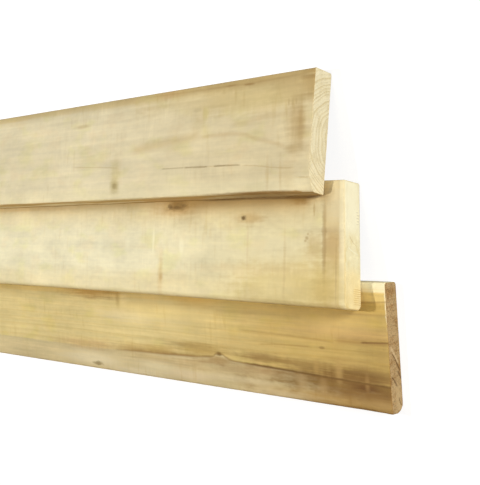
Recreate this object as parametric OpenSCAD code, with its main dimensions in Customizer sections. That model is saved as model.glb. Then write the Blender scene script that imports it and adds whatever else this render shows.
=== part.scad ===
// Stack of three sawn boards lying on a level floor, lapped like shingles.
// X runs along the boards towards their near ends, Y runs from the front of the stack to
// its back, and Z is up. The bottom board lies flat at the front. Each board after it lies
// over the back upper edge of the one before, and its own back lower edge is on the floor.

/* [Bottom board] */
// Length of the bottom board
bottom_length = 1800; // [600:10:4800]
// Width of the bottom board
bottom_width = 145; // [95:1:220]
// Thickness of the bottom board
bottom_thickness = 20; // [12:0.5:40]
// Radius that the long edges of the bottom board are rounded to
bottom_edge_radius = 3; // [1:0.5:5]
// How far the near end of the bottom board is cut out of square, in degrees
bottom_end_skew = 2.5; // [0:0.5:8]

/* [Middle board] */
// Length of the middle board
middle_length = 1800; // [600:10:4800]
// Width of the middle board
middle_width = 145; // [95:1:220]
// Thickness of the middle board
middle_thickness = 28; // [15:0.5:50]
// Radius that the front edges of the middle board are rounded to
middle_front_radius = 6; // [1:0.5:7]
// Radius that the back edges of the middle board are rounded to
middle_back_radius = 2; // [1:0.5:7]
// How far the near end of the middle board is cut out of square, in degrees
middle_end_skew = 7; // [0:0.5:8]
// Width of the middle board that lies over the bottom board
middle_lap = 28; // [8:1:60]
// How far the near end of the middle board lies behind the near end of the bottom board
middle_setback = 41; // [0:1:300]

/* [Top board] */
// Length of the top board
top_length = 1800; // [600:10:4800]
// Width of the top board
top_width = 145; // [95:1:220]
// Thickness of the top board
top_thickness = 28; // [15:0.5:50]
// Radius that the long edges of the top board are rounded to
top_edge_radius = 2; // [1:0.5:7]
// How far the near end of the top board is cut out of square, in degrees
top_end_skew = 4; // [0:0.5:8]
// Width of the top board that lies over the middle board
top_lap = 18; // [8:1:60]
// How far the near end of the top board lies behind the near end of the middle board
top_setback = 42; // [0:1:300]

/* [Seating] */
// Clearance between a board and the edge that it lies over
seat_gap = 0.2; // [0.1:0.1:0.5]

/* [Hidden] */
$fn = 64;

// Spare length that the saw takes off the near end
saw_spare = 10;

// A place is [y, z] of the centre of a board's back lower rounded edge.
// A board that leans by an angle has its front raised by that angle.
function across(lean) = [cos(lean), -sin(lean)];
function upright(lean) = [sin(lean), cos(lean)];

// Centre of a board's back upper rounded edge
function back_upper(place, lean, thickness, radius) =
    place + (thickness - 2 * radius) * upright(lean);

// A board's underside runs from the floor over the edge it lies on: run is the length of
// underside between the two edge centres, and rise is how far apart they are across it.
function seat_run(width, lap, radius) = width - lap - radius;
function seat_rise(radius, lower_radius) = radius + lower_radius + seat_gap;
function seat_lean(run, rise, drop) =
    atan2(rise, run) + asin(drop / sqrt(run * run + rise * rise));
function seat_place(lower_edge, run, rise, lean) =
    lower_edge + run * across(lean) + rise * upright(lean);

// Bottom board, flat on the floor with its back edge on the line y = 0
bottom_lean = 0;
bottom_place = [-bottom_edge_radius, bottom_edge_radius];
bottom_upper = back_upper(bottom_place, bottom_lean, bottom_thickness, bottom_edge_radius);
bottom_near = 0;

// Middle board, over the back edge of the bottom board
middle_run = seat_run(middle_width, middle_lap, middle_back_radius);
middle_rise = seat_rise(middle_back_radius, bottom_edge_radius);
middle_lean = seat_lean(middle_run, middle_rise, bottom_upper.y - middle_back_radius);
middle_place = seat_place(bottom_upper, middle_run, middle_rise, middle_lean);
middle_upper = back_upper(middle_place, middle_lean, middle_thickness, middle_back_radius);
middle_near = bottom_near - middle_setback;

// Top board, over the back edge of the middle board
top_run = seat_run(top_width, top_lap, top_edge_radius);
top_rise = seat_rise(top_edge_radius, middle_back_radius);
top_lean = seat_lean(top_run, top_rise, middle_upper.y - top_edge_radius);
top_place = seat_place(middle_upper, top_run, top_rise, top_lean);
top_upper = back_upper(top_place, top_lean, top_thickness, top_edge_radius);
top_near = middle_near - top_setback;

// Reach of a board along X, and across Y at its raised front and at its back
function near_reach(near, width, skew) = near + tan(skew) * width / 2;
function front_reach(place, lean, width, front_radius, back_radius) =
    place.x - (width - front_radius - back_radius) * across(lean).x
    + (front_radius - back_radius) * upright(lean).x - front_radius;

near_x = max(
    near_reach(bottom_near, bottom_width, bottom_end_skew),
    near_reach(middle_near, middle_width, middle_end_skew),
    near_reach(top_near, top_width, top_end_skew)
);
far_x = min(
    bottom_near - bottom_length,
    middle_near - middle_length,
    top_near - top_length
);
front_y = min(
    front_reach(bottom_place, bottom_lean, bottom_width, bottom_edge_radius, bottom_edge_radius),
    front_reach(middle_place, middle_lean, middle_width, middle_front_radius, middle_back_radius),
    front_reach(top_place, top_lean, top_width, top_edge_radius, top_edge_radius)
);
back_y = max(
    bottom_upper.x + bottom_edge_radius,
    middle_upper.x + middle_back_radius,
    top_upper.x + top_edge_radius
);

// The origin is under the middle of the whole stack
stack_middle = [(near_x + far_x) / 2, (front_y + back_y) / 2];

// Cross-section of a board with rounded long edges, drawn from its back lower edge centre
module board_section(width, thickness, front_radius, back_radius) {
    front = -(width - front_radius - back_radius);
    front_low = front_radius - back_radius;
    front_rise = thickness - 2 * front_radius;
    back_rise = thickness - 2 * back_radius;
    translate([front, -back_radius]) square([-front, thickness]);
    translate([front - front_radius, front_low]) square([front_radius - front, front_rise]);
    translate([front, 0]) square([back_radius - front, back_rise]);
    for (rise = [0, front_rise]) translate([front, front_low + rise]) circle(r = front_radius);
    for (rise = [0, back_rise]) translate([0, rise]) circle(r = back_radius);
}

// One board sawn to length: the far end square, the near end out of square by skew
module board(length, width, thickness, front_radius, back_radius, skew) {
    cut_depth = saw_spare + width * tan(skew);
    difference() {
        translate([-length, 0, 0]) rotate([90, 0, 90])
            linear_extrude(height = length + cut_depth)
                board_section(width, thickness, front_radius, back_radius);
        translate([0, back_radius - width / 2, 0]) rotate([0, 0, skew])
            translate([0, -width, -thickness])
                cube([2 * cut_depth, 2 * width, 3 * thickness]);
    }
}

// Sets a board down at its place, leaning on the one below
module laid(near, place, lean) {
    translate([near - stack_middle.x, place.x - stack_middle.y, place.y])
        rotate([-lean, 0, 0]) children();
}

module bottom_board() {
    color("burlywood") laid(bottom_near, bottom_place, bottom_lean)
        board(bottom_length, bottom_width, bottom_thickness, bottom_edge_radius,
              bottom_edge_radius, bottom_end_skew);
}

module middle_board() {
    color("cornsilk") laid(middle_near, middle_place, middle_lean)
        board(middle_length, middle_width, middle_thickness, middle_front_radius,
              middle_back_radius, middle_end_skew);
}

module top_board() {
    color("wheat") laid(top_near, top_place, top_lean)
        board(top_length, top_width, top_thickness, top_edge_radius, top_edge_radius,
              top_end_skew);
}

bottom_board();
middle_board();
top_board();
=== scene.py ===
import math
from collections import namedtuple
from types import SimpleNamespace

import bpy
import numpy as np
from mathutils import Matrix, Vector


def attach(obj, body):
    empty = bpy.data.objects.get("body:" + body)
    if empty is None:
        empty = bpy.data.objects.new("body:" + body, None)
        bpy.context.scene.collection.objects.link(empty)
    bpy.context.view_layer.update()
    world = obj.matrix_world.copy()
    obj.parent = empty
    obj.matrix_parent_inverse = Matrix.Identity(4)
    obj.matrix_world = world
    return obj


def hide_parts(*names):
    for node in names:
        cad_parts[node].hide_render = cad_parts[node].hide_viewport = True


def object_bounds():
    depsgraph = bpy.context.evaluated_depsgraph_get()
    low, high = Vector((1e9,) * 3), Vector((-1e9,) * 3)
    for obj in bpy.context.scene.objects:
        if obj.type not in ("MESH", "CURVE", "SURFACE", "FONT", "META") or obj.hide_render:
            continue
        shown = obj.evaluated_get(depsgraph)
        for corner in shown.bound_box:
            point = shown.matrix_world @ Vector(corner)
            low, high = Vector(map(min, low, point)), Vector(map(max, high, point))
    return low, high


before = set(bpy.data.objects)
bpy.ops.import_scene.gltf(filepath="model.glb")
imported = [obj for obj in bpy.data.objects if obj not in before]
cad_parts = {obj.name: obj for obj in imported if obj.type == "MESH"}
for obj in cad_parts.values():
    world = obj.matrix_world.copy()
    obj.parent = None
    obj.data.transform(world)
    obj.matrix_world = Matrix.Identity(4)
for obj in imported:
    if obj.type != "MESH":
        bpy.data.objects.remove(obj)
cad_low, cad_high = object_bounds()

# Bottom board: the thinnest of the three, 20 mm softwood sawn from near the heart of the log.
# Its sapwood is gold and its heart edge brown, with a dark growth line between the two.
# It lies flat on the floor, and its ends are cross-cut with a coarse saw.


def read_board(node):
    """Where a board lies and how big it is, read off its CAD solid."""
    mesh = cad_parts[node].data
    top_face = max((p for p in mesh.polygons if p.normal.z > 0.5), key=lambda p: p.area)
    along = Vector((1.0, 0.0, 0.0))
    up = Vector((0.0, top_face.normal.y, top_face.normal.z)).normalized()
    axes = np.array([along, up.cross(along), up])
    points = np.array([v.co for v in mesh.vertices]) @ axes.T
    low, high = points.min(0), points.max(0)
    width, thickness = high[1:] - low[1:]
    hair = 1e-5
    flat = points[points[:, 2] > high[2] - hair][:, 1]
    near_front = points[points[:, 1] < low[1] + hair][:, 0].max()
    near_back = points[points[:, 1] > high[1] - hair][:, 0].max()
    near = (near_front + near_back) / 2
    middle = axes.T @ np.array([near, *(low[1:] + high[1:]) / 2])
    place = Matrix.Translation(Vector(middle)) @ Matrix(axes.T.tolist()).to_4x4()
    return SimpleNamespace(
        place=place,
        length=near - low[0],
        width=width,
        thickness=thickness,
        front_edge=flat.min() - low[1],
        back_edge=high[1] - flat.max(),
        skew=(near_front - near_back) / width,
    )


Check = namedtuple("Check", "across start stop depth")
Dent = namedtuple("Dent", "along side level reach depth")
Worn = namedtuple("Worn", "start side level reach drop")


def edge_at(board, y):
    """Radius of the rounded long edges on the side of a board that y is on."""
    return np.where(y > 0, board.back_edge, board.front_edge)


def corner_lines(size, edge):
    """Mesh lines over a rounded edge, from where the flat ends to the outermost."""
    corner_steps = 5
    return size / 2 - edge + edge * np.linspace(0, 1, corner_steps + 1)


def across_lines(board, step, checks):
    """Lines of a board's mesh across its width: close at its edges and beside a check."""
    check_half_width = 0.0005
    front = -corner_lines(board.width, board.front_edge)
    back = corner_lines(board.width, board.back_edge)
    flat = back[0] - front[0]
    middle = np.linspace(front[0], back[0], round(flat / step) + 1)
    for check in checks:
        middle = middle[abs(middle - check.across) > 3 * check_half_width]
        beside = check.across + check_half_width * np.array([-1, 0, 1])
        middle = np.concatenate([middle, beside])
    return np.unique(np.round(np.concatenate([front, middle, back]), 6))


def through_lines(board, step):
    """Lines of a board's mesh through its thickness, close at its edges."""
    corners = [corner_lines(board.thickness, edge) for edge in (board.front_edge, board.back_edge)]
    flat = min(corner[0] for corner in corners)
    middle = np.linspace(-flat, flat, round(2 * flat / step) + 1)
    corners = np.concatenate(corners)
    return np.unique(np.round(np.concatenate([-corners, middle, corners]), 6))


def rounded(y, z, half_width, half_thickness, edge):
    """Moves points of a square-edged section so that its four edges become round."""
    u = np.clip((abs(y) - half_width + edge) / edge, 0, 1)
    v = np.clip((abs(z) - half_thickness + edge) / edge, 0, 1)
    new_y = np.where(u > 0, half_width - edge + edge * u * np.sqrt(1 - v * v / 2), abs(y))
    new_z = np.where(v > 0, half_thickness - edge + edge * v * np.sqrt(1 - u * u / 2), abs(z))
    return np.copysign(new_y, y), np.copysign(new_z, z)


def wander(where, pitch, seed):
    """Smooth random heights from -1 to 1 along a line, with one new height each pitch."""
    low = np.floor(where.min() / pitch) - 1
    count = int(where.max() / pitch - low) + 3
    heights = np.random.default_rng(seed).uniform(-1, 1, count)
    at = where / pitch - low
    whole = at.astype(int)
    part = at - whole
    part = part * part * (3 - 2 * part)
    return heights[whole] * (1 - part) + heights[whole + 1] * part


def relief(x, y, z, board, checks, dents, knots, seed):
    """How far a board's long faces stand proud: saw ripple, worn edges, dents, knots and checks."""
    saw_pitch, saw_fade_pitch, saw_lean, saw_height = 0.007, 0.03, 0.06, 0.00012
    edge_wear, long_wear_pitch, short_wear_pitch = 0.18, 0.06, 0.011
    dent_count, dent_depth, dent_edge_share = 26, 0.0011, 0.35
    knot_rise, knot_sink = 0.0003, 0.0002
    half_width, half_thickness = board.width / 2, board.thickness / 2
    saw_share = 0.6 + 0.4 * wander(y, saw_fade_pitch, seed + 1)
    height = saw_height * wander(x + saw_lean * y, saw_pitch, seed) * saw_share
    edge = edge_at(board, y)
    corner = np.minimum(abs(y) - half_width + edge, abs(z) - half_thickness + edge)
    corner = np.clip(corner / edge, 0, 1)
    which = (y > 0) * 2 + (z > 0)
    for number in range(4):
        long_wear = wander(x, long_wear_pitch, seed + 10 + number)
        short_wear = wander(x, short_wear_pitch, seed + 20 + number)
        worn = 0.5 + 0.3 * long_wear + 0.2 * short_wear
        height -= np.where(which == number, edge_wear * edge * corner * worn, 0)
    draw = np.random.default_rng(seed + 30)
    knocks = list(dents)
    for _ in range(dent_count):
        side, level = draw.choice([-1, 1], 2)
        depth = draw.uniform(0.3, 1) * min(dent_depth, dent_edge_share * edge_at(board, side))
        along = -draw.uniform(0, board.length)
        reach = draw.uniform(0.004, 0.012)
        knocks.append(Dent(along, side, level, reach, depth))
    for dent in knocks:
        struck = (y * dent.side > 0) & (z * dent.level > 0)
        hollow = dent.depth * corner * np.exp(-((x - dent.along) / dent.reach) ** 2)
        height -= np.where(struck, hollow, 0)
    for knot in knots:
        apart = np.hypot((x - knot.along) / knot.length, (y - knot.across) / knot.width)
        bulge = knot_rise * np.exp(-(apart / 0.9) ** 2)
        groove = knot_sink * np.exp(-((apart - 1.3) / 0.3) ** 2)
        height += bulge - groove
    for check in checks:
        share = np.clip((x - check.start) / (check.stop - check.start), 0, 1)
        opening = np.where((z > 0) & (abs(y - check.across) < 1e-6), np.sin(math.pi * share) ** 0.5, 0)
        height -= check.depth * opening
    return height


def rim_of(rows, columns):
    """Places once round a grid: along its underside, up its back, over its top and down its front."""
    rim = [(i, 0) for i in range(rows)]
    rim += [(rows - 1, j) for j in range(1, columns)]
    rim += [(i, columns - 1) for i in range(rows - 2, -1, -1)]
    rim += [(0, j) for j in range(columns - 2, 0, -1)]
    return np.array(rim)


def board_sides(board, flat_y, flat_z, end_round, checks, dents, knots, seed):
    """Points of a board's long faces: a loop round it at each station from its far end to its near end."""
    station_step, round_steps = 0.00285, 4
    half_width, half_thickness = board.width / 2, board.thickness / 2
    edge = edge_at(board, flat_y)
    rim_y, rim_z = rounded(flat_y, flat_z, half_width, half_thickness, edge)
    core_y = np.clip(rim_y, edge - half_width, half_width - edge)
    core_z = np.clip(rim_z, edge - half_thickness, half_thickness - edge)
    out = np.stack([rim_y - core_y, rim_z - core_z], 1)
    out /= np.linalg.norm(out, axis=1, keepdims=True)
    turn = np.linspace(0, math.pi / 2, round_steps + 1)[:-1]
    back_from_end = end_round * (1 - np.sin(turn))
    inset = end_round * (1 - np.cos(turn))
    run = np.linspace(end_round, board.length - end_round, round(board.length / station_step))
    from_far = np.concatenate([back_from_end[::-1], run[1:-1], board.length - back_from_end])
    pull = np.concatenate([inset[::-1], np.zeros(len(run) - 2), inset])
    near = -board.skew * flat_y
    x = -board.length + (from_far / board.length)[:, None] * (board.length + near[None, :])
    y = rim_y * (1 - pull[:, None] / half_width)
    z = rim_z * (1 - pull[:, None] / half_thickness)
    proud = relief(x, np.broadcast_to(flat_y, x.shape), z, board, checks, dents, knots, seed)
    return np.stack([x, y + proud * out[:, 0], z + proud * out[:, 1]], 2)


def board_ends(board, across, through, end_round, seed):
    """Points of a board's near and far end faces, left rough by the saw."""
    end_rough, slant_pitch, level_pitch = 0.00022, 0.0035, 0.004
    half_width, half_thickness = board.width / 2, board.thickness / 2
    grid_y, grid_z = np.meshgrid(across, through, indexing="ij")
    y, z = rounded(grid_y, grid_z, half_width, half_thickness, edge_at(board, grid_y))
    y = y * (1 - end_round / half_width)
    z = z * (1 - end_round / half_thickness)
    torn = wander(y * 1.7 + z * 0.6, slant_pitch, seed + 40) + wander(z, level_pitch, seed + 41)
    near = np.stack([-board.skew * y + end_rough * (torn - 1), y, z], 2)
    far = np.stack([-board.length - end_rough * (torn - 1), y, z], 2)
    return near, far


def wear_corner(points, board, corner):
    """Wears one long edge of a board away towards its near end."""
    along = np.clip(1 - points[:, 0] / corner.start, 0, 1) ** 2
    outward = np.clip((points[:, 1] * corner.side - board.width / 2) / corner.reach + 1, 0, 1) ** 2
    level_share = (points[:, 2] * corner.level + board.thickness / 2) / board.thickness
    points[:, 2] -= corner.level * corner.drop * along * outward * level_share


def board_faces(rim, stations, rows, columns):
    """Quads of a board's mesh: its long faces, its two ends and the strips that join them."""
    loop = len(rim)
    first = np.arange(loop)
    second = np.roll(first, -1)
    base = np.arange(stations - 1)[:, None] * loop
    walls = np.stack([base + first, base + second, base + loop + second, base + loop + first], 2)
    number = np.arange(rows * columns).reshape(rows, columns)
    cell = [number[:-1, :-1], number[1:, :-1], number[1:, 1:], number[:-1, 1:]]
    cell = np.stack([corner.ravel() for corner in cell], 1)
    rim_number = number[rim[:, 0], rim[:, 1]]
    near_start = stations * loop
    far_start = near_start + rows * columns
    last = (stations - 1) * loop
    near_rim = [last + first, last + second, near_start + rim_number[second], near_start + rim_number]
    far_rim = [far_start + rim_number, far_start + rim_number[second], second, first]
    faces = [walls.reshape(-1, 4), np.stack(near_rim, 1), np.stack(far_rim, 1)]
    faces += [near_start + cell, far_start + cell[:, ::-1]]
    return np.concatenate(faces)


def sawn_board(name, board, material, end_round, knots, seed, checks=(), dents=(), worn=(), crook=0.0):
    """A board's mesh in its own frame: x back from its near end, y across and z through it."""
    line_step, sharp_angle = 0.0045, math.radians(38)
    across = across_lines(board, line_step, checks)
    through = through_lines(board, line_step)
    rim = rim_of(len(across), len(through))
    flat_y, flat_z = across[rim[:, 0]], through[rim[:, 1]]
    sides = board_sides(board, flat_y, flat_z, end_round, checks, dents, knots, seed)
    near, far = board_ends(board, across, through, end_round, seed)
    points = np.concatenate([part.reshape(-1, 3) for part in (sides, near, far)])
    for corner in worn:
        wear_corner(points, board, corner)
    # A crooked board's middle bows to one side, and its ends are thrown to the other
    end_throw = 0.4
    share = -points[:, 0] / board.length
    points[:, 1] += crook * (4 * share * (1 - share) - end_throw)
    mesh = bpy.data.meshes.new(name)
    faces = board_faces(rim, len(sides), len(across), len(through))
    mesh.from_pydata(points.tolist(), [], faces.tolist())
    mesh.shade_smooth()
    mesh.set_sharp_from_angle(angle=sharp_angle)
    mesh.materials.append(material)
    piece = bpy.data.objects.new(name, mesh)
    bpy.context.scene.collection.objects.link(piece)
    piece.matrix_world = board.place
    return piece


def paint(red, green, blue):
    """A colour given as it looks on a screen, 0 to 255, as the shader takes it."""
    parts = [c / 255 for c in (red, green, blue)]
    return (*[c / 12.92 if c <= 0.04045 else ((c + 0.055) / 1.055) ** 2.4 for c in parts], 1.0)


def add_node(tree, kind, inputs, **settings):
    """Adds a shader node and feeds its sockets from other sockets or plain values."""
    made = tree.nodes.new("ShaderNode" + kind)
    for name, value in settings.items():
        setattr(made, name, value)
    for key, value in inputs.items():
        if isinstance(value, bpy.types.NodeSocket):
            tree.links.new(value, made.inputs[key])
        else:
            made.inputs[key].default_value = value
    return made


def maths(tree, operation, first, second=0.0, third=0.0):
    return add_node(tree, "Math", {0: first, 1: second, 2: third}, operation=operation).outputs[0]


def product(tree, first, second):
    return maths(tree, "MULTIPLY", first, second)


def add_scaled(tree, value, factor, base):
    """A base with a value times a factor added to it."""
    return maths(tree, "MULTIPLY_ADD", value, factor, base)


def fade(tree, value, start, stop):
    """0 at start, 1 at stop and smooth between, whichever of the two is higher."""
    ends = {"Value": value, "From Min": start, "From Max": stop}
    return add_node(tree, "MapRange", ends, interpolation_type="SMOOTHSTEP").outputs[0]


def tint(tree, share, under, over, kind="MIX"):
    sockets = {0: share, 6: under, 7: over}
    return add_node(tree, "Mix", sockets, data_type="RGBA", blend_type=kind).outputs[2]


def mottle(tree, spot, grain, detail=2.0, shift=0.0):
    """Noise about 0 whose patches are grain metres long, wide and deep."""
    stretch = [1 / g for g in grain]
    moved = add_node(tree, "VectorMath", {0: spot, 1: stretch, 2: [shift] * 3}, operation="MULTIPLY_ADD")
    noise = add_node(tree, "TexNoise", {"Vector": moved.outputs[0], "Scale": 1.0, "Detail": detail})
    return maths(tree, "SUBTRACT", noise.outputs[0], 0.5)


Knot = namedtuple("Knot", "along across length width colour strength")
StainAndPaintedLight = namedtuple("StainAndPaintedLight", "along across length width colour strength soft", defaults=[0.8])
Line = namedtuple("Line", "points width colour strength fades", defaults=[True])
Band = namedtuple("Band", "start stop colour strength")
Tear = namedtuple("Tear", "across reach pitch through depth colour strength")


def blot(tree, spot, rough, mark, soft):
    """1 inside an oval mark with a ragged rim, fading to 0 outside it."""
    scale = (1 / mark.length, 1 / mark.width, 0.0)
    shift = (-mark.along / mark.length, -mark.across / mark.width, 0.0)
    near = add_node(tree, "VectorMath", {0: spot, 1: scale, 2: shift}, operation="MULTIPLY_ADD").outputs[0]
    apart = add_node(tree, "VectorMath", {0: near}, operation="LENGTH").outputs["Value"]
    return fade(tree, maths(tree, "ADD", apart, rough), 1 + soft, 1 - soft)


def line_height(tree, x, points):
    """The height of a drawn line above x, a smooth curve through the listed points."""
    start, stop = points[0][0], points[-1][0]
    low = min(across for along, across in points)
    rise = max(across for along, across in points) - low
    ends = {"Value": x, "From Min": start, "From Max": stop}
    share = add_node(tree, "MapRange", ends).outputs[0]
    curve = add_node(tree, "FloatCurve", {"Factor": 1.0, "Value": share})
    track = curve.mapping.curves[0].points
    spots = [((along - start) / (stop - start), (across - low) / rise) for along, across in points]
    track[0].location, track[1].location = spots[0], spots[-1]
    for spot in spots[1:-1]:
        track.new(*spot)
    curve.mapping.update()
    return add_scaled(tree, curve.outputs[0], rise, low)


def distance(tree, first, second):
    return maths(tree, "ABSOLUTE", maths(tree, "SUBTRACT", first, second))


def times(tree, colour, by):
    return tint(tree, 1.0, colour, by, "MULTIPLY")


def wash(tree, colour, share, strength, over):
    """Lays one colour over another where share is 1, as strongly as strength says."""
    return tint(tree, product(tree, share, strength), colour, over)


def shade(tree, tone, colour):
    """A colour made lighter or darker by a tone about 1."""
    grey = add_node(tree, "CombineColor", {0: tone, 1: tone, 2: tone}).outputs[0]
    return times(tree, colour, grey)


def draw_line(tree, colour, line, run, height, taper_share):
    """Draws a line over a colour. It starts softly, and ends softly too where it fades."""
    off = distance(tree, height, line_height(tree, run, line.points))
    start, stop = line.points[0][0], line.points[-1][0]
    taper = (stop - start) * taper_share
    share = product(tree, fade(tree, off, line.width, 0.0), line.strength)
    share = product(tree, share, fade(tree, run, start, start + taper))
    if line.fades:
        share = product(tree, share, fade(tree, run, stop, stop - taper))
    return tint(tree, share, colour, line.colour)


def growth_rings(tree, spot, wood):
    """0 in the early wood and up to 1 in the late wood of each ring about the log's heart."""
    wobble_reach, uneven_reach, uneven_scale = 0.016, 0.014, 55.0
    late_start, late_peak = 0.25, 0.9
    weakest, spread = 0.3, 0.8
    _, y, z = add_node(tree, "SeparateXYZ", {0: spot}).outputs
    from_heart = [maths(tree, "SUBTRACT", *pair) for pair in zip((y, z), wood.heart)]
    squares = [product(tree, side, side) for side in from_heart]
    radius = maths(tree, "SQRT", maths(tree, "ADD", *squares))
    wobble = mottle(tree, spot, (0.4, 0.05, 0.05), 2.0, wood.seed)
    radius = add_scaled(tree, wobble, wobble_reach, radius)
    inputs = {"W": radius, "Scale": uneven_scale, "Detail": 1.0}
    uneven = add_node(tree, "TexNoise", inputs, noise_dimensions="1D").outputs[0]
    radius = add_scaled(tree, uneven, uneven_reach, radius)
    turns = maths(tree, "DIVIDE", radius, wood.ring)
    part = maths(tree, "FRACT", turns)
    late = product(tree, fade(tree, part, late_start, late_peak), fade(tree, part, 1.0, late_peak))
    which = maths(tree, "FLOOR", turns)
    strong = add_node(tree, "TexWhiteNoise", {"W": which}, noise_dimensions="1D").outputs[0]
    return product(tree, late, add_scaled(tree, strong, spread, weakest))


def grain_of(tree, wood):
    """Places on a board and the patterns in its wood, which the looks of its faces share."""
    spot = add_node(tree, "TexCoord", {}).outputs["Object"]
    x, y, z = add_node(tree, "SeparateXYZ", {0: spot}).outputs
    leaning_x = add_scaled(tree, y, wood.saw_lean, x)
    across_saw = add_node(tree, "CombineXYZ", {0: leaning_x, 1: y, 2: z}).outputs[0]
    return SimpleNamespace(
        spot=spot, x=x, y=y, z=z,
        leaning_x=leaning_x,
        across_saw=across_saw,
        late=growth_rings(tree, spot, wood),
        ragged=mottle(tree, spot, (0.012, 0.005, 0.005), 2.0, wood.seed + 3),
        fibre=mottle(tree, spot, (0.05, 0.0022, 0.0022), 2.0, wood.seed + 5),
        streak=mottle(tree, spot, (0.22, 0.008, 0.008), 2.0, wood.seed + 7),
        saw=mottle(tree, across_saw, (0.0060, 0.034, 0.02), 1.0, wood.seed + 9),
        fine_saw=mottle(tree, across_saw, (0.0026, 0.022, 0.02), 2.0, wood.seed + 10),
        pores=mottle(tree, spot, (0.02, 0.0016, 0.0016), 3.0, wood.seed + 13),
    )


def clear_face(tree, at, wood):
    """A face before its marks: its near and far colours, rings, and pink and green patches."""
    near_stop, far_start = -0.06, -0.45
    pink_cast, green_cast = (0.99, 0.96, 0.93, 1.0), (0.97, 0.985, 0.85, 1.0)
    pink = fade(tree, mottle(tree, at.across_saw, (0.035, 0.022, 0.03), 2.0, wood.seed + 11), 0.0, 0.2)
    green = fade(tree, mottle(tree, at.across_saw, (0.045, 0.024, 0.03), 2.0, wood.seed + 14), 0.0, 0.2)
    colour = tint(tree, fade(tree, at.x, near_stop, far_start), wood.near, wood.far)
    colour = wash(tree, colour, at.late, wood.ring_strength, times(tree, colour, wood.late_tint))
    colour = wash(tree, colour, pink, wood.blotch, times(tree, colour, pink_cast))
    return wash(tree, colour, green, wood.blotch, times(tree, colour, green_cast))


def heart_side(tree, at, wood, colour):
    """Adds the heart wood in front of the heart edge, darkest at the near end."""
    edge_fray, edge_soft, tone_wander, strength = 0.004, 0.001, 0.35, 0.85
    near_stop, far_start = -0.04, -0.28
    off = maths(tree, "SUBTRACT", at.y, line_height(tree, at.x, wood.heart_edge))
    off = add_scaled(tree, at.ragged, edge_fray, off)
    blotches = mottle(tree, at.across_saw, (0.024, 0.008, 0.02), 2.0, wood.seed + 17)
    streaky_x = add_scaled(tree, blotches, tone_wander, at.x)
    streaky_x = add_scaled(tree, at.streak, tone_wander, streaky_x)
    brown = tint(tree, fade(tree, streaky_x, near_stop, far_start), wood.heart_near, wood.heart_far)
    return wash(tree, colour, fade(tree, off, edge_soft, -edge_soft), strength, brown)


def marked_face(tree, at, wood, colour):
    """Adds marks to a board's face: bands, heart wood, stains, drawn lines and knots. Some bands, stains
    and lines are painted shade, and a few stains are painted light.
    """
    band_wander, stain_streak = 0.016, 0.9
    line_wander, line_taper = 0.0012, 0.12
    knot_fray, knot_soft = 1.5, 0.5
    band_y = add_scaled(tree, at.streak, band_wander, at.y)
    for where, bands in ((band_y, wood.bands), (at.leaning_x, wood.end_bands)):
        for band in bands:
            inside = fade(tree, where, band.start, band.stop)
            colour = wash(tree, colour, inside, band.strength, band.colour)
    if wood.heart_edge:
        colour = heart_side(tree, at, wood, colour)
    rough = product(tree, at.ragged, wood.stain_fray)
    rough = add_scaled(tree, at.saw, wood.stain_comb, rough)
    rough = add_scaled(tree, at.fibre, wood.stain_fibre, rough)
    rough = add_scaled(tree, at.streak, stain_streak, rough)
    # Ovals with ragged rims: stains of the wood, and also painted shade and painted light
    for stain in wood.stains:
        inside = blot(tree, at.across_saw, rough, stain, stain.soft)
        colour = wash(tree, colour, inside, stain.strength, stain.colour)
    drawn_y = add_scaled(tree, at.ragged, line_wander, at.y)
    for line in wood.lines:
        colour = draw_line(tree, colour, line, at.x, drawn_y, line_taper)
    knot_rough = product(tree, at.ragged, knot_fray)
    for knot in wood.knots:
        inside = blot(tree, at.spot, knot_rough, knot, knot_soft)
        colour = wash(tree, colour, inside, knot.strength, knot.colour)
    return colour


def sawn_face(tree, at, wood, colour):
    """Adds the saw's marks, which come in groups, and the light and dark of the grain."""
    weak_mark, full_mark = 0.06, 0.26
    group = fade(tree, mottle(tree, at.spot, (0.08, 0.05, 0.05), 1.0, wood.seed + 12), -0.12, 0.16)
    patch = mottle(tree, at.across_saw, (0.070, 0.034, 0.03), 1.0, wood.seed + 16)
    light_mark = product(tree, fade(tree, at.saw, weak_mark, full_mark), group)
    dark_mark = product(tree, fade(tree, at.saw, -weak_mark, -full_mark), group)
    colour = wash(tree, colour, dark_mark, wood.saw_strength * 6.0, times(tree, colour, wood.late_tint))
    tones = [
        (at.fibre, wood.fibre_strength),
        (at.streak, wood.streak_strength),
        (patch, wood.patch_strength),
        (at.ragged, wood.mottle_strength),
        (at.fine_saw, wood.saw_strength * 0.6),
        (light_mark, wood.saw_strength * 0.5),
    ]
    tone = 1.0
    for pattern, strength in tones:
        tone = add_scaled(tree, pattern, strength, tone)
    return shade(tree, tone, colour)


def torn_share(tree, at, tear):
    """1 on the teeth of a torn patch of an end, fading to 0 about them."""
    tooth_wander, depth_wander = 0.001, 0.006
    ragged_y = add_scaled(tree, at.ragged, tooth_wander, at.y)
    tooth = maths(tree, "FRACT", maths(tree, "DIVIDE", ragged_y, tear.pitch))
    tooth = fade(tree, distance(tree, tooth, 0.5), 0.30, 0.08)
    off_y = distance(tree, at.y, tear.across)
    off_z = add_scaled(tree, at.pores, depth_wander, distance(tree, at.z, tear.through))
    share = product(tree, fade(tree, off_y, tear.reach, tear.reach * 0.8), tooth)
    share = product(tree, share, fade(tree, off_z, tear.depth, tear.depth * 0.6))
    return product(tree, share, tear.strength)


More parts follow.
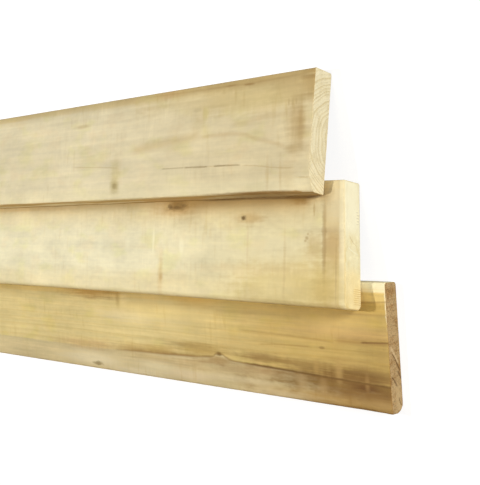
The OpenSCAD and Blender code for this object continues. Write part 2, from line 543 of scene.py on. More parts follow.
def cut_end(tree, at, wood):
    """A cross-cut end: rings, smears, pores, pits, torn fibres and drawn lines."""
    smear_light, line_wander, line_taper = 0.16, 0.003, 0.2
    ringed = tuple(early * late for early, late in zip(wood.end, wood.end_late_tint))
    smear = mottle(tree, at.spot, (0.02, 0.014, 0.009), 2.0, wood.seed + 15)
    colour = wash(tree, wood.end, at.late, wood.end_ring_strength, ringed)
    colour = wash(tree, colour, fade(tree, smear, 0.04, -0.20), wood.end_smear, ringed)
    high_smear = product(tree, fade(tree, smear, 0.02, 0.22), wood.end_smear)
    tone = add_scaled(tree, high_smear, smear_light, 1.0)
    tone = add_scaled(tree, at.pores, wood.end_rough, tone)
    colour = shade(tree, tone, colour)
    pits = fade(tree, add_scaled(tree, smear, 0.5, at.pores), 0.12, 0.26)
    colour = wash(tree, colour, pits, wood.end_pits, wood.pit_colour)
    for tear in wood.end_tears:
        colour = tint(tree, torn_share(tree, at, tear), colour, tear.colour)
    drawn_z = add_scaled(tree, at.pores, line_wander, at.z)
    for line in wood.end_lines:
        colour = draw_line(tree, colour, line, at.y, drawn_z, line_taper)
    return colour


def sawn_wood(name, wood):
    """Solid wood: growth rings, fibres, saw marks across the face, a board's marks (some of them painted
    shade and light) and painted shade on the rims of its ends.
    """
    bump_strength, bump_depth, shine = 0.35, 0.0008, 0.2
    material = bpy.data.materials.new(name)
    material.use_nodes = True
    tree = material.node_tree
    tree.nodes.clear()
    at = grain_of(tree, wood)
    normal = add_node(tree, "NewGeometry", {}).outputs["True Normal"]
    facing = maths(tree, "ABSOLUTE", add_node(tree, "SeparateXYZ", {0: normal}).outputs[0])
    end = fade(tree, facing, 0.45, 0.85)
    colour = clear_face(tree, at, wood)
    colour = marked_face(tree, at, wood, colour)
    colour = sawn_face(tree, at, wood, colour)
    colour = tint(tree, end, colour, cut_end(tree, at, wood))
    # Painted shade: the rounded rim between a face and its end is darkened, which damps the highlight it
    # catches
    rim_painted_shade = product(tree, fade(tree, facing, 0.1, 0.4), fade(tree, facing, 0.97, 0.8))
    colour = wash(tree, colour, rim_painted_shade, wood.rim_strength, times(tree, colour, wood.late_tint))
    face_height = add_scaled(tree, at.fine_saw, 0.8, product(tree, at.fibre, 0.5))
    end_height = product(tree, at.pores, 1.2)
    height = add_node(tree, "Mix", {0: end, 2: face_height, 3: end_height}).outputs[0]
    bumps = {"Strength": bump_strength, "Distance": bump_depth, "Height": height}
    bump = add_node(tree, "Bump", bumps).outputs[0]
    rough = add_scaled(tree, at.fibre, 0.25, 0.7)
    inputs = {"Base Color": colour, "Roughness": rough, "Normal": bump, "Specular IOR Level": shine}
    surface = add_node(tree, "BsdfPrincipled", inputs).outputs[0]
    add_node(tree, "OutputMaterial", {"Surface": surface})
    return material


bottom = read_board("bottom_board")
heart_line = [(-0.510, -0.0438), (-0.452, -0.0412), (-0.377, -0.0399), (-0.309, -0.0372), (-0.286, -0.0342),
              (-0.277, -0.0307), (-0.265, -0.0339), (-0.240, -0.0386), (-0.163, -0.0407), (-0.079, -0.0435),
              (0.004, -0.0457)]
heart_past_knot = heart_line[7:]
bottom_wood = SimpleNamespace(
    seed=1.0,
    saw_lean=0.044,
    stain_comb=0.3,
    stain_fray=0.4,
    stain_fibre=1.1,
    heart=(-0.110, -0.020),
    ring=0.0064,
    near=paint(202, 173, 103),
    far=paint(217, 198, 140),
    late_tint=(0.86, 0.78, 0.62, 1.0),
    ring_strength=0.35,
    blotch=0.8,
    fibre_strength=0.20,
    streak_strength=0.34,
    patch_strength=0.34,
    mottle_strength=0.14,
    saw_strength=0.07,
    end=paint(190, 160, 113),
    end_late_tint=(0.72, 0.60, 0.46, 1.0),
    end_ring_strength=0.6,
    rim_strength=0.95,
    end_rough=2.0,
    end_smear=1.0,
    end_pits=0.7,
    pit_colour=paint(96, 66, 36),
    end_tears=[],
    end_lines=[
        Line([(-0.073, -0.0040), (-0.056, -0.0030), (-0.036, -0.0010)], 0.0090,
             paint(210, 182, 132), 0.65),
        Line([(-0.020, -0.0080), (-0.009, -0.0005), (0.004, 0.0075)], 0.0026,
             paint(222, 194, 146), 0.75),
        Line([(-0.028, -0.0090), (-0.014, -0.0010), (-0.003, 0.0070)], 0.0020, paint(96, 66, 34), 0.75),
        Line([(-0.044, -0.0020), (-0.036, 0.0030), (-0.030, 0.0085)], 0.0024, paint(92, 62, 32), 0.75),
        Line([(-0.036, -0.0095), (-0.030, -0.0065), (-0.025, -0.0030)], 0.0022, paint(88, 58, 30), 0.75),
        Line([(-0.066, -0.0080), (-0.060, -0.0050), (-0.054, -0.0030)], 0.0016, paint(112, 80, 44), 0.7),
    ],
    bands=[
        # Painted shade: darker gold under the middle board's front edge, where its shadow falls
        Band(0.030, 0.040, paint(208, 172, 88), 0.45),
        Band(0.0452, 0.0511, paint(226, 198, 126), 0.8),
        Band(0.0586, 0.0641, paint(242, 232, 192), 0.95),
        Band(-0.0673, -0.0740, paint(192, 160, 104), 0.45),
    ],
    end_bands=[],
    heart_edge=heart_line,
    heart_near=paint(119, 87, 41),
    heart_far=paint(200, 183, 140),
    stains=[
        StainAndPaintedLight(-0.070, -0.0680, 0.120, 0.0065, paint(186, 152, 92), 0.7),
        StainAndPaintedLight(-0.036, -0.0570, 0.056, 0.0085, paint(138, 103, 57), 0.60),
        StainAndPaintedLight(-0.225, -0.0470, 0.070, 0.0060, paint(172, 140, 90), 0.5),
        StainAndPaintedLight(-0.330, -0.0530, 0.090, 0.0035, paint(176, 148, 102), 0.45),
        StainAndPaintedLight(-0.260, -0.0610, 0.060, 0.0035, paint(218, 200, 158), 0.5),
        StainAndPaintedLight(-0.421, -0.0475, 0.050, 0.0035, paint(190, 164, 112), 0.5),
        StainAndPaintedLight(-0.336, -0.0470, 0.035, 0.0035, paint(188, 158, 106), 0.5),
        StainAndPaintedLight(-0.565, -0.0610, 0.060, 0.0075, paint(226, 212, 174), 0.7),
        StainAndPaintedLight(-0.405, -0.0595, 0.040, 0.0060, paint(218, 205, 166), 0.6),
        StainAndPaintedLight(-0.340, -0.0650, 0.040, 0.0050, paint(220, 200, 162), 0.6),
        StainAndPaintedLight(-0.305, -0.0530, 0.020, 0.0050, paint(214, 194, 144), 0.5),
        StainAndPaintedLight(-0.075, 0.0120, 0.085, 0.0080, paint(206, 172, 112), 0.6),
        StainAndPaintedLight(-0.030, 0.0100, 0.040, 0.0045, paint(190, 152, 98), 0.45),
        StainAndPaintedLight(-0.098, -0.0088, 0.003, 0.0015, paint(140, 106, 56), 0.55),
        StainAndPaintedLight(-0.200, -0.0305, 0.034, 0.0058, paint(144, 112, 60), 0.75),
        StainAndPaintedLight(-0.114, -0.0325, 0.040, 0.0058, paint(142, 110, 58), 0.65),
        StainAndPaintedLight(-0.038, -0.0345, 0.048, 0.0075, paint(122, 88, 42), 0.85),
        StainAndPaintedLight(-0.035, -0.0485, 0.018, 0.0050, paint(106, 70, 33), 0.80),
        StainAndPaintedLight(-0.056, -0.0412, 0.085, 0.0056, paint(128, 94, 48), 0.80),
        StainAndPaintedLight(-0.050, -0.0245, 0.050, 0.0060, paint(180, 148, 88), 0.5, 0.9),
        StainAndPaintedLight(-0.003, -0.0415, 0.009, 0.0026, paint(170, 134, 76), 0.4),
        StainAndPaintedLight(-0.008, -0.0130, 0.022, 0.0170, paint(180, 149, 86), 0.6, 0.9),
        StainAndPaintedLight(-0.300, -0.0425, 0.030, 0.0032, paint(172, 138, 86), 0.5),
        StainAndPaintedLight(-0.074, -0.0340, 0.005, 0.0130, paint(192, 158, 96), 0.6),
        StainAndPaintedLight(-0.109, -0.0330, 0.004, 0.0080, paint(186, 152, 88), 0.5),
        StainAndPaintedLight(-0.033, -0.0440, 0.003, 0.0080, paint(176, 140, 84), 0.5),
        StainAndPaintedLight(-0.099, -0.0560, 0.006, 0.0100, paint(178, 146, 94), 0.5),
        StainAndPaintedLight(-0.134, -0.0540, 0.008, 0.0110, paint(196, 168, 118), 0.5),
        StainAndPaintedLight(-0.199, -0.0530, 0.010, 0.0100, paint(212, 192, 148), 0.25),
        StainAndPaintedLight(-0.440, -0.0360, 0.050, 0.0055, paint(182, 150, 86), 0.6),
        StainAndPaintedLight(-0.388, -0.0340, 0.030, 0.0050, paint(180, 148, 84), 0.6),
        StainAndPaintedLight(-0.312, -0.0290, 0.045, 0.0090, paint(174, 142, 74), 0.70),
        StainAndPaintedLight(-0.489, 0.0310, 0.0045, 0.0110, paint(172, 136, 70), 0.55, 0.9),
        StainAndPaintedLight(-0.476, 0.0300, 0.008, 0.0130, paint(230, 210, 150), 0.6),
        StainAndPaintedLight(-0.470, 0.0085, 0.055, 0.0080, paint(230, 212, 162), 0.8),
        StainAndPaintedLight(-0.385, 0.0060, 0.050, 0.0060, paint(226, 206, 150), 0.5),
        # Painted light: lightens the bottom board below the middle board's edge, narrowing its shadow
        StainAndPaintedLight(-0.410, 0.0200, 0.075, 0.0090, paint(236, 212, 144), 0.7),
        StainAndPaintedLight(-0.570, -0.0390, 0.060, 0.0060, paint(196, 162, 112), 0.6),
        StainAndPaintedLight(-0.278, -0.0394, 0.020, 0.0045, paint(166, 130, 72), 0.55),
        # Painted shade: darker, more saturated gold under the middle board's front edge
        StainAndPaintedLight(-0.324, 0.0401, 0.040, 0.0090, paint(208, 168, 84), 0.5),
        StainAndPaintedLight(-0.195, -0.0450, 0.012, 0.0060, paint(166, 130, 80), 0.45),
        StainAndPaintedLight(-0.155, -0.0305, 0.016, 0.0050, paint(150, 116, 62), 0.45),
        StainAndPaintedLight(-0.165, -0.0723, 0.050, 0.0050, paint(214, 194, 150), 0.6),
        StainAndPaintedLight(-0.450, -0.0713, 0.050, 0.0050, paint(222, 208, 172), 0.55),
        StainAndPaintedLight(-0.555, 0.0452, 0.066, 0.0120, paint(176, 138, 74), 0.85, 0.7),
        # Painted light: lightens the shadow below the middle board's near corner
        StainAndPaintedLight(-0.075, 0.0213, 0.040, 0.0090, paint(218, 188, 120), 0.55),
        StainAndPaintedLight(-0.012, -0.0673, 0.020, 0.0060, paint(184, 152, 98), 0.35),
        StainAndPaintedLight(0.000, 0.0480, 0.0016, 0.0260, paint(255, 246, 212), 0.7, 0.5),
    ],
    lines=[
        Line(heart_line, 0.0026, paint(140, 108, 58), 0.55, fades=False),
        Line([(-0.510, -0.0436), (-0.452, -0.0410), (-0.377, -0.0396), (-0.309, -0.0366)], 0.0044,
             paint(150, 116, 62), 0.4),
        Line(heart_past_knot, 0.0022, paint(104, 74, 36), 0.7, fades=False),
        Line([(-0.060, 0.0470), (-0.027, 0.0480), (0.004, 0.0503)], 0.0022,
             paint(160, 124, 66), 0.55, fades=False),
        Line([(-0.060, 0.0338), (-0.030, 0.0342), (0.004, 0.0348)], 0.0020,
             paint(176, 138, 78), 0.4, fades=False),
        Line([(-0.245, 0.0030), (-0.152, 0.0020), (-0.111, 0.0007), (-0.072, -0.0011)], 0.0026,
             paint(172, 138, 78), 0.45),
        Line([(-0.206, -0.0127), (-0.158, -0.0101), (-0.112, -0.0089)], 0.0018,
             paint(176, 142, 80), 0.5),
        Line([(-0.080, 0.0016), (-0.037, 0.0018), (0.003, 0.0037)], 0.0062, paint(170, 132, 74), 0.5),
        Line([(-0.041, 0.0017), (0.003, 0.0040)], 0.0019, paint(120, 86, 46), 0.7, fades=False),
    ],
    knots=[
        Knot(-0.2755, -0.0312, 0.005, 0.0024, paint(112, 83, 38), 0.75),
        Knot(-0.543, -0.0677, 0.011, 0.0028, paint(128, 106, 60), 0.7),
        Knot(-1.120, 0.0158, 0.014, 0.0090, paint(110, 76, 38), 0.85),
    ],
)
# Places across this board were read off the photo through a first camera. The camera below was fitted later
# and sees them further back: by back_move at back_place, and more by front_gain a metre towards the front.
back_place = 0.060
back_move = 0.0016
front_gain = 0.0131


def settled(across):
    """Moves a place across the board from the first camera's reading to the camera below."""
    return across + back_move + (back_place - across) * front_gain


def settled_points(points):
    return [(along, settled(across)) for along, across in points]


bottom_wood.heart_edge = settled_points(bottom_wood.heart_edge)
bottom_wood.bands = [band._replace(start=settled(band.start), stop=settled(band.stop))
                     for band in bottom_wood.bands]
bottom_wood.stains = [stain._replace(across=settled(stain.across)) for stain in bottom_wood.stains]
bottom_wood.lines = [line._replace(points=settled_points(line.points)) for line in bottom_wood.lines]
bottom_wood.knots = [knot._replace(across=settled(knot.across)) for knot in bottom_wood.knots]
bottom_dents = [
    Dent(-0.056, -1, 1, 0.0030, 0.0010),
    Dent(-0.044, -1, 1, 0.0026, 0.0014),
    Dent(-0.034, -1, 1, 0.0030, 0.0011),
    Dent(-0.024, -1, 1, 0.0026, 0.0013),
]
bottom_material = sawn_wood("bottom_board_wood", bottom_wood)
bottom_worn = [Worn(-0.040, -1, -1, 0.010, 0.009)]
bottom_piece = sawn_board("bottom_board_sawn", bottom, bottom_material, end_round=0.0012,
                          knots=bottom_wood.knots, seed=100, dents=bottom_dents, worn=bottom_worn)
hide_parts("bottom_board")
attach(bottom_piece, "root")

# Middle board: a pale, nearly white 28 mm board of sapwood with small knots and well rounded front edges.
# It lies over the back edge of the bottom board, with its own back edge on the floor.
# It has dried a few millimetres out of straight, and a tan band lies behind its near end.
middle = read_board("middle_board")
middle_wood = SimpleNamespace(
    seed=31.0,
    saw_lean=0.10,
    stain_comb=0.5,
    stain_fray=0.9,
    stain_fibre=0.3,
    heart=(-0.120, -0.060),
    ring=0.0070,
    near=paint(227, 215, 171),
    far=paint(236, 228, 193),
    late_tint=(0.92, 0.87, 0.76, 1.0),
    ring_strength=0.13,
    blotch=0.9,
    fibre_strength=0.06,
    streak_strength=0.16,
    patch_strength=0.38,
    mottle_strength=0.16,
    saw_strength=0.08,
    end=paint(246, 235, 191),
    end_late_tint=(0.92, 0.87, 0.76, 1.0),
    end_ring_strength=0.15,
    rim_strength=0.85,
    end_rough=0.2,
    end_smear=0.9,
    end_pits=0.35,
    pit_colour=paint(186, 158, 104),
    end_tears=[
        Tear(-0.0600, 0.0110, 0.0024, -0.0075, 0.0085, paint(190, 150, 88), 0.7),
        Tear(0.0290, 0.0080, 0.0034, -0.0088, 0.0024, paint(140, 112, 66), 0.75),
    ],
    end_lines=[
        Line([(0.000, -0.0010), (0.100, 0.0010)], 0.0400, paint(255, 248, 214), 0.75),
        Line([(-0.110, -0.0010), (-0.022, 0.0010)], 0.0400, paint(240, 214, 146), 0.55),
        Line([(-0.013, -0.0120), (-0.010, -0.0010), (-0.005, 0.0090)], 0.0018,
             paint(255, 250, 220), 0.8),
        Line([(-0.004, -0.0090), (0.001, 0.0000), (0.008, 0.0060)], 0.0016, paint(204, 178, 122), 0.5),
    ],
    bands=[
        # Painted shade: these two bands darken the back strip of the board, where the top board's edge
        # shades it
        Band(0.010, 0.048, paint(211, 194, 148), 0.70),
        Band(0.040, 0.056, paint(196, 165, 106), 0.75),
        Band(-0.030, -0.058, paint(230, 211, 156), 0.45),
    ],
    end_bands=[
        Band(-0.0320, -0.0295, paint(211, 187, 135), 0.75),
        # Painted highlight: a pale strip just behind the near end, where the rounded end catches light
        Band(-0.0100, -0.0070, paint(241, 228, 184), 0.85),
    ],
    heart_edge=None,
    stains=[
        # Painted shade: a broad soft halo of the top board's shadow
        StainAndPaintedLight(-0.200, 0.0400, 0.200, 0.0220, paint(214, 195, 146), 0.45),
        StainAndPaintedLight(-0.0168, -0.0050, 0.0115, 0.0190, paint(196, 166, 112), 0.72, 0.6),
        StainAndPaintedLight(-0.060, -0.0520, 0.095, 0.0300, paint(219, 196, 130), 0.75, 0.7),
        StainAndPaintedLight(-0.0312, 0.0020, 0.0026, 0.0420, paint(162, 131, 80), 0.60, 0.7),
        StainAndPaintedLight(-0.013, -0.0350, 0.0012, 0.0350, paint(186, 158, 106), 0.4, 0.5),
        StainAndPaintedLight(-0.0445, -0.0060, 0.0115, 0.0150, paint(206, 180, 126), 0.6),
        # Painted shade and a brown spot: darker where the top board's lower edge meets this board near its
        # end
        StainAndPaintedLight(-0.070, 0.0500, 0.017, 0.0060, paint(144, 106, 54), 0.75, 0.9),
        StainAndPaintedLight(-0.069, 0.0520, 0.030, 0.0024, paint(104, 72, 30), 0.70, 0.7),
        # Painted lighter past the top board's end, where the painted shade bands have no shadow to stand
        # for
        StainAndPaintedLight(-0.015, 0.0500, 0.011, 0.0260, paint(238, 222, 178), 0.65),
        # Painted shadow of the top board's end
        StainAndPaintedLight(-0.029, 0.0575, 0.009, 0.0105, paint(172, 146, 100), 0.62),
        StainAndPaintedLight(-0.065, 0.0495, 0.006, 0.0042, paint(112, 78, 38), 0.55),
        StainAndPaintedLight(-0.1065, -0.0110, 0.026, 0.0130, paint(242, 230, 188), 0.40),
        StainAndPaintedLight(-0.105, -0.0540, 0.026, 0.0120, paint(238, 222, 168), 0.40),
        StainAndPaintedLight(-0.293, 0.0460, 0.042, 0.0120, paint(204, 168, 110), 0.6),
        StainAndPaintedLight(-0.289, 0.0465, 0.021, 0.0068, paint(166, 132, 80), 0.55),
        StainAndPaintedLight(-0.150, 0.0285, 0.020, 0.0048, paint(172, 140, 86), 0.65),
        StainAndPaintedLight(-0.154, 0.0290, 0.020, 0.0080, paint(212, 186, 132), 0.60),
        StainAndPaintedLight(-0.3375, 0.0020, 0.0024, 0.0170, paint(250, 243, 206), 0.65, 0.6),
        StainAndPaintedLight(-0.459, -0.0070, 0.006, 0.0080, paint(250, 243, 208), 0.45),
        StainAndPaintedLight(-0.394, -0.0030, 0.005, 0.0070, paint(250, 243, 208), 0.5),
        StainAndPaintedLight(-0.279, -0.0070, 0.004, 0.0090, paint(250, 243, 208), 0.5),
        StainAndPaintedLight(-0.3205, -0.0460, 0.0045, 0.0260, paint(215, 190, 134), 0.65, 0.9),
        StainAndPaintedLight(-0.3195, -0.0487, 0.003, 0.0040, paint(196, 156, 100), 0.5, 0.9),
        StainAndPaintedLight(-0.154, -0.0340, 0.080, 0.0060, paint(222, 201, 150), 0.45),
        StainAndPaintedLight(-0.0466, 0.0378, 0.0013, 0.0075, paint(188, 162, 110), 0.6, 0.5),
        StainAndPaintedLight(-0.0578, 0.0039, 0.0024, 0.0018, paint(162, 130, 82), 0.6),
        StainAndPaintedLight(-0.0559, 0.0088, 0.0016, 0.0012, paint(172, 142, 92), 0.5),
        StainAndPaintedLight(-0.0596, 0.0008, 0.0018, 0.0013, paint(168, 138, 88), 0.5),
        StainAndPaintedLight(-0.0925, -0.0300, 0.0018, 0.0420, paint(206, 182, 130), 0.4, 0.9),
        StainAndPaintedLight(-0.155, -0.0100, 0.0018, 0.0300, paint(212, 190, 142), 0.35, 0.9),
        StainAndPaintedLight(-0.033, -0.0560, 0.013, 0.0190, paint(206, 180, 112), 0.7),
        # Painted highlight: a bright strip at the rounded near end
        StainAndPaintedLight(-0.0025, 0.0300, 0.0052, 0.0640, paint(244, 231, 190), 0.65, 0.7),
    ],
    lines=[
        # Painted shade: a soft gradient of the top board's shadow below its lower edge, and a dark painted
        # contact line along that edge
        Line([(-0.330, 0.0550), (-0.166, 0.0540), (-0.075, 0.0530), (-0.042, 0.0534)], 0.0270,
             paint(178, 140, 72), 0.72),
        Line([(-0.250, 0.0530), (-0.166, 0.0526), (-0.075, 0.0518), (-0.036, 0.0524)], 0.0024,
             paint(100, 70, 32), 0.6),
    ],
    knots=[
        Knot(-0.295, 0.0460, 0.019, 0.0044, paint(116, 90, 48), 0.5),
        Knot(-0.310, 0.0468, 0.0054, 0.0030, paint(86, 62, 28), 0.42),
        Knot(-0.295, 0.0452, 0.008, 0.0022, paint(88, 64, 30), 0.38),
        Knot(-0.281, 0.0468, 0.005, 0.0020, paint(100, 76, 40), 0.34),
        Knot(-0.1655, 0.0286, 0.0042, 0.0027, paint(92, 68, 32), 0.85),
        Knot(-0.960, -0.0220, 0.013, 0.0080, paint(150, 114, 66), 0.8),
    ],
)
middle_material = sawn_wood("middle_board_wood", middle_wood)
middle_piece = sawn_board("middle_board_sawn", middle, middle_material, end_round=0.0026,
                          knots=middle_wood.knots, seed=200, crook=0.0057)
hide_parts("middle_board")
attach(middle_piece, "root")

# Top board: a beige 28 mm board, flat-sawn with the bark side up and crisp edges.
# It lies over the back edge of the middle board, with its own back edge on the floor.
# Its back edge is darker, and a brown stain and a drying check show on its face.
top = read_board("top_board")
top_wood = SimpleNamespace(
    seed=57.0,
    saw_lean=0.16,
    stain_comb=0.4,
    stain_fray=0.4,
    stain_fibre=0.2,
    heart=(-0.008, -0.042),
    ring=0.0046,
    near=paint(219, 204, 164),
    far=paint(224, 212, 177),
    late_tint=(0.91, 0.87, 0.77, 1.0),
    ring_strength=0.14,
    blotch=0.9,
    fibre_strength=0.07,
    streak_strength=0.24,
    patch_strength=0.32,
    mottle_strength=0.13,
    saw_strength=0.08,
    end=paint(240, 228, 190),
    end_late_tint=(0.78, 0.71, 0.56, 1.0),
    end_ring_strength=0.8,
    rim_strength=0.4,
    end_rough=0.5,
    end_smear=0.4,
    end_pits=0.2,
    pit_colour=paint(176, 146, 96),
    end_tears=[],
    end_lines=[],
    bands=[
        Band(-0.050, -0.060, paint(231, 219, 178), 0.55),
        Band(0.0540, 0.0705, paint(186, 162, 106), 0.75),
        # Painted shade: the front face is browned, where it lies in shade
        Band(-0.0715, -0.0724, paint(194, 157, 96), 0.85),
    ],
    end_bands=[],
    heart_edge=None,
    stains=[
        # Painted shade: the front face darker towards the near end
        StainAndPaintedLight(-0.085, -0.0727, 0.090, 0.0020, paint(136, 102, 58), 0.6, 0.7),
        StainAndPaintedLight(-0.110, 0.0520, 0.160, 0.0180, paint(204, 183, 129), 0.75, 0.7),
        StainAndPaintedLight(-0.070, 0.0690, 0.170, 0.0080, paint(178, 150, 96), 0.65, 0.9),
        StainAndPaintedLight(-0.260, 0.0680, 0.030, 0.0060, paint(200, 164, 108), 0.5),
        StainAndPaintedLight(-0.340, 0.0690, 0.035, 0.0060, paint(186, 162, 112), 0.5),
        StainAndPaintedLight(-0.295, 0.0670, 0.024, 0.0060, paint(206, 190, 130), 0.5),
        StainAndPaintedLight(0.001, 0.0560, 0.017, 0.0190, paint(182, 150, 92), 0.75, 0.7),
        StainAndPaintedLight(-0.004, 0.0620, 0.014, 0.0028, paint(150, 116, 62), 0.6, 0.7),
        StainAndPaintedLight(-0.001, 0.0655, 0.010, 0.0012, paint(226, 206, 150), 0.4, 0.6),
        StainAndPaintedLight(-0.030, 0.0560, 0.030, 0.0170, paint(190, 166, 115), 0.75),
        StainAndPaintedLight(-0.015, 0.0410, 0.018, 0.0016, paint(160, 130, 78), 0.6, 0.7),
        StainAndPaintedLight(-0.024, 0.0120, 0.020, 0.0340, paint(204, 182, 135), 0.5, 0.9),
        StainAndPaintedLight(-0.023, 0.0110, 0.0115, 0.0290, paint(184, 159, 111), 0.75, 0.9),
        StainAndPaintedLight(-0.017, 0.0060, 0.004, 0.0190, paint(174, 146, 98), 0.45, 0.9),
        StainAndPaintedLight(-0.036, 0.0345, 0.0016, 0.0040, paint(168, 140, 92), 0.5, 0.7),
        StainAndPaintedLight(-0.0298, 0.0330, 0.0016, 0.0050, paint(168, 140, 92), 0.55, 0.7),
        StainAndPaintedLight(-0.024, 0.0345, 0.0014, 0.0036, paint(168, 140, 92), 0.5, 0.7),
        StainAndPaintedLight(-0.031, -0.0230, 0.008, 0.0040, paint(188, 162, 112), 0.4, 0.9),
        StainAndPaintedLight(-0.1806, 0.0340, 0.005, 0.0080, paint(204, 188, 128), 0.75, 0.7),
        StainAndPaintedLight(-0.182, 0.0120, 0.007, 0.0090, paint(210, 194, 138), 0.55),
        StainAndPaintedLight(-0.1986, 0.0397, 0.007, 0.0030, paint(194, 178, 136), 0.6, 0.7),
        StainAndPaintedLight(-0.452, 0.0388, 0.014, 0.0030, paint(198, 180, 138), 0.65),
        StainAndPaintedLight(-0.3671, -0.0400, 0.009, 0.0240, paint(207, 191, 138), 0.6),
        StainAndPaintedLight(-0.368, -0.0530, 0.0072, 0.0065, paint(158, 138, 82), 0.58, 0.9),
        StainAndPaintedLight(-0.070, -0.0500, 0.0022, 0.0190, paint(204, 181, 133), 0.4, 0.9),
        StainAndPaintedLight(-0.049, -0.0530, 0.002, 0.0180, paint(202, 178, 130), 0.45),
        StainAndPaintedLight(-0.126, 0.0540, 0.002, 0.0090, paint(192, 168, 114), 0.5),
        StainAndPaintedLight(-0.1115, 0.0470, 0.002, 0.0100, paint(194, 170, 116), 0.5),
        StainAndPaintedLight(-0.103, 0.0640, 0.009, 0.0015, paint(150, 118, 66), 0.6, 0.6),
        StainAndPaintedLight(-0.134, 0.0663, 0.009, 0.0013, paint(156, 124, 72), 0.5, 0.6),
        StainAndPaintedLight(-0.070, 0.0400, 0.050, 0.0120, paint(212, 193, 138), 0.5, 0.9),
        StainAndPaintedLight(-0.245, 0.0370, 0.030, 0.0110, paint(230, 218, 182), 0.4),
        StainAndPaintedLight(-0.244, -0.0460, 0.026, 0.0090, paint(232, 220, 180), 0.4),
        StainAndPaintedLight(-0.205, 0.0520, 0.030, 0.0080, paint(222, 206, 164), 0.4),
        StainAndPaintedLight(-0.196, 0.0200, 0.010, 0.0090, paint(204, 186, 138), 0.4),
        StainAndPaintedLight(-0.038, -0.0540, 0.010, 0.0130, paint(206, 184, 136), 0.4),
    ],
    lines=[
        Line([(-0.330, 0.0688), (-0.204, 0.0665), (-0.112, 0.0655), (-0.061, 0.0660), (-0.008, 0.0668)],
             0.0024, paint(150, 118, 66), 0.22),
        Line([(-0.470, -0.0215), (-0.400, -0.0250), (-0.352, -0.0285)], 0.0018,
             paint(196, 176, 130), 0.5),
        Line([(-0.262, -0.0346), (-0.236, -0.0347), (-0.212, -0.0350)], 0.0014,
             paint(140, 114, 70), 0.38),
        Line([(-0.216, -0.0350), (-0.190, -0.0355), (-0.168, -0.0360)], 0.0019,
             paint(128, 102, 60), 0.5),
        Line([(-0.161, -0.0361), (-0.136, -0.0365), (-0.108, -0.0373)], 0.0019,
             paint(128, 102, 60), 0.5),
        Line([(-0.336, -0.0067), (-0.293, -0.0024), (-0.232, 0.0030), (-0.185, 0.0070)], 0.0110,
             paint(203, 181, 133), 0.55),
        Line([(-0.202, 0.0020), (-0.150, 0.0038), (-0.118, 0.0019), (-0.089, -0.0059), (-0.048, -0.0161),
              (-0.028, -0.0236)], 0.0050, paint(190, 162, 114), 0.32),
        Line([(-0.139, 0.0156), (-0.112, 0.0159), (-0.083, 0.0197), (-0.034, 0.0202)], 0.0066,
             paint(198, 175, 126), 0.34),
        Line([(-0.111, -0.0375), (-0.085, -0.0394), (-0.043, -0.0440), (-0.018, -0.0452)], 0.0014,
             paint(188, 162, 112), 0.4),
    ],
    knots=[
        Knot(-0.3595, -0.0535, 0.0044, 0.0036, paint(124, 106, 58), 0.28),
        Knot(-1.230, 0.0300, 0.012, 0.0080, paint(140, 110, 62), 0.85),
    ],
)
top_material = sawn_wood("top_board_wood", top_wood)
top_checks = [Check(-0.0362, -0.196, -0.116, 0.0006), Check(-0.0566, -0.016, 0.006, 0.0010)]
top_worn = [Worn(-0.050, -1, 1, 0.028, 0.010)]
top_piece = sawn_board("top_board_sawn", top, top_material, end_round=0.0010,
                       knots=top_wood.knots, seed=300, checks=top_checks, worn=top_worn)
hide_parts("top_board")
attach(top_piece, "root")

# Floor and light: a pale studio floor that the stack lies on, white to the camera.
# A small lamp hangs high over the boards and a wide one stands past their near ends.
# A dim warm lamp in front and a dim warm sky fill the shadows.
floor_size = 12.0
floor_grey = (0.36, 0.36, 0.36, 1.0)
near_glow = 0.78
glow_start, glow_stop = 1.2, 2.6
floor_mesh = bpy.data.meshes.new("floor")
half_floor = floor_size / 2
floor_corners = [(-half_floor, -half_floor, 0), (half_floor, -half_floor, 0),
                 (half_floor, half_floor, 0), (-half_floor, half_floor, 0)]
floor_mesh.from_pydata(floor_corners, [], [(0, 1, 2, 3)])
floor = bpy.data.objects.new("floor", floor_mesh)
bpy.context.scene.collection.objects.link(floor)
floor_paint = bpy.data.materials.new("pale_floor")
floor_paint.use_nodes = True
floor_tree = floor_paint.node_tree
floor_tree.nodes.clear()
seen = add_node(floor_tree, "LightPath", {}).outputs["Is Camera Ray"]
matt = add_node(floor_tree, "BsdfDiffuse", {"Color": floor_grey}).outputs[0]
floor_spot = add_node(floor_tree, "TexCoord", {}).outputs["Object"]
from_stack = add_node(floor_tree, "VectorMath", {0: floor_spot}, operation="LENGTH").outputs["Value"]
far_off = fade(floor_tree, from_stack, glow_start, glow_stop)
lifted = add_scaled(floor_tree, far_off, 1 - near_glow, near_glow)
lifted = product(floor_tree, seen, lifted)
glow = add_node(floor_tree, "Emission", {"Color": (1.0, 1.0, 1.0, 1.0), "Strength": lifted}).outputs[0]
both = add_node(floor_tree, "AddShader", {0: matt, 1: glow}).outputs[0]
add_node(floor_tree, "OutputMaterial", {"Surface": both})
floor_mesh.materials.append(floor_paint)


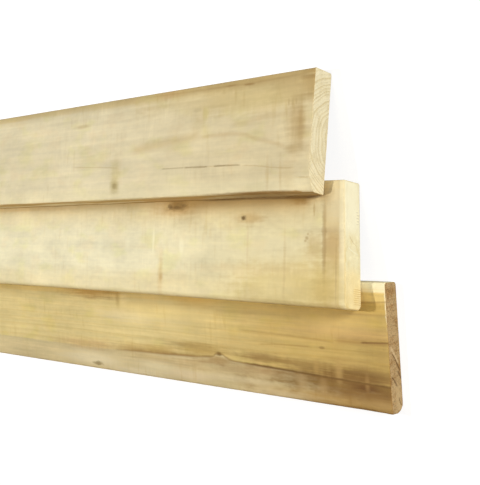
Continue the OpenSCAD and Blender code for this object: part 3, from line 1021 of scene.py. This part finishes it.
def soft_lamp(name, size, power, colour, stand, target):
    """A square studio lamp that stands at one point and faces another."""
    lamp = bpy.data.lights.new(name, "AREA")
    lamp.size = size
    lamp.energy = power
    lamp.color = colour
    made = bpy.data.objects.new(name, lamp)
    made.location = stand
    made.rotation_euler = (Vector(target) - Vector(stand)).to_track_quat("-Z", "Y").to_euler()
    bpy.context.scene.collection.objects.link(made)


lit_back_from_end, lit_height = 0.25, 0.03
near_end = Vector((cad_high.x - lit_back_from_end, 0.0, lit_height))
white = (1.0, 1.0, 1.0)
warm = (1.0, 0.76, 0.46)
warm_sky, sky_strength = (1.0, 0.9, 0.74, 1.0), 0.15
soft_lamp("lamp_left", 0.12, 24, white, near_end + Vector((-0.85, 0.2, 1.95)), near_end)
soft_lamp("lamp_right", 0.8, 96, white, near_end + Vector((3.1, 0.95, 1.5)), near_end)
soft_lamp("lamp_front", 1.6, 9, warm, near_end + Vector((0.0, -2.0, 0.7)), near_end)
world = bpy.data.worlds.new("studio")
world.use_nodes = True
world_tree = world.node_tree
world_tree.nodes.clear()
to_camera = add_node(world_tree, "LightPath", {}).outputs["Is Camera Ray"]
dim = add_node(world_tree, "Background", {"Color": warm_sky, "Strength": sky_strength}).outputs[0]
bright = add_node(world_tree, "Background", {"Color": (1.0, 1.0, 1.0, 1.0), "Strength": 1.0}).outputs[0]
sky = add_node(world_tree, "MixShader", {0: to_camera, 1: dim, 2: bright}).outputs[0]
add_node(world_tree, "OutputWorld", {"Surface": sky})
bpy.context.scene.world = world
bpy.context.scene.view_settings.view_transform = "Standard"

# Camera: looks down on the near ends of the boards from beyond them.
# The boards run off to the left of the picture, and the back of the stack is at its top.
lens = bpy.data.cameras.new("camera")
picture_long_side = 485
focal_pixels = 1002
lens.sensor_width = 36.0
lens.lens = focal_pixels * lens.sensor_width / picture_long_side
camera = bpy.data.objects.new("camera", lens)
bpy.context.scene.collection.objects.link(camera)
camera_stand = Vector((1.61995, 0.03606, 0.89117))
camera_forward = Vector((-0.72208, -0.03371, -0.69098)).normalized()
camera_up = Vector((-0.00262, 0.99894, -0.04599))
camera_right = camera_forward.cross(camera_up).normalized()
camera_up = camera_right.cross(camera_forward)
turn = Matrix((camera_right, camera_up, -camera_forward)).transposed().to_4x4()
camera.matrix_world = Matrix.Translation(camera_stand) @ turn
bpy.context.scene.camera = camera
